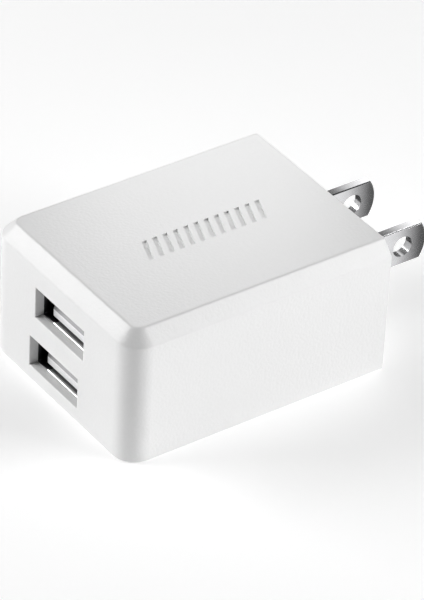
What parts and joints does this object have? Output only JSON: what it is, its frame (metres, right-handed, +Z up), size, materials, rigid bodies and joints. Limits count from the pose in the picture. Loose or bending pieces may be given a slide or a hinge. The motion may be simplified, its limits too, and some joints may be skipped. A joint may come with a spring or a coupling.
{
  "type": "usb wall charger",
  "caption": "Wall charger: chamfered white block with stacked USB-A sockets in one end and fixed flat plug blades on the other.",
  "frame": {"origin": "centre of the wall face, midway between the blades and at the height of their centre line", "axes": "+Y along the blades into the outlet, -Y out of the socket face, +Z up towards the chamfered top, +X to the right seen from the socket face"},
  "size_m": [0.036, 0.0606, 0.0224],
  "materials": {
    "housing_white": "fine spark-eroded matte",
    "cover_white": "fine matte",
    "blade_nickel": "nickel plated, brushed lengthwise",
    "socket_metal": "bright tin plated sheet",
    "spring_steel": "bright plated spring",
    "socket_insulator": "moulded, satin",
    "contact_gold": "gold flashed",
    "board_green": "solder mask",
    "header_black": "moulded",
    "ferrite": "sintered, dull",
    "bobbin_black": "moulded",
    "winding_copper": "enamelled wire",
    "tape_yellow": "polyester film tape",
    "capacitor_sleeve": "shrunk sleeve",
    "capacitor_can": "bare can",
    "chip_black": "moulded epoxy",
    "resistor_green": "cement coated",
    "disc_blue": "dipped epoxy",
    "chip_resistor": "glazed",
    "chip_capacitor": "sintered",
    "sheet_ivory": "polyester film",
    "lead_red": "insulated wire"
  },
  "bodies": {
    "root": {"front_shell": "housing_white", "rear_cover": "cover_white", "blade_left": "blade_nickel", "blade_right": "blade_nickel", "usb_shell_upper": "socket_metal", "usb_shell_lower": "socket_metal", "usb_tongue_upper": "socket_insulator", "usb_tongue_lower": "socket_insulator", "usb_contacts_upper": "contact_gold", "usb_contacts_lower": "contact_gold", "usb_springs_upper": "spring_steel", "usb_springs_lower": "spring_steel", "usb_board": "board_green", "main_board": "board_green", "board_link": "header_black", "transformer_core_lower": "ferrite", "transformer_core_upper": "ferrite", "transformer_bobbin": "bobbin_black", "transformer_winding": "winding_copper", "transformer_tape": "tape_yellow", "input_capacitor_1": "capacitor_sleeve", "input_capacitor_2": "capacitor_sleeve", "output_capacitor_1": "capacitor_can", "output_capacitor_2": "capacitor_can", "bridge_rectifier": "chip_black", "fuse_resistor": "resistor_green", "filter_inductor": "ferrite", "safety_capacitor": "disc_blue", "switching_chip": "chip_black", "rectifier_chip": "chip_black", "chip_resistors": "chip_resistor", "chip_capacitors": "chip_capacitor", "insulating_sheet": "sheet_ivory", "lead_left": "lead_red", "lead_right": "lead_red"}
  },
  "joints": []
}
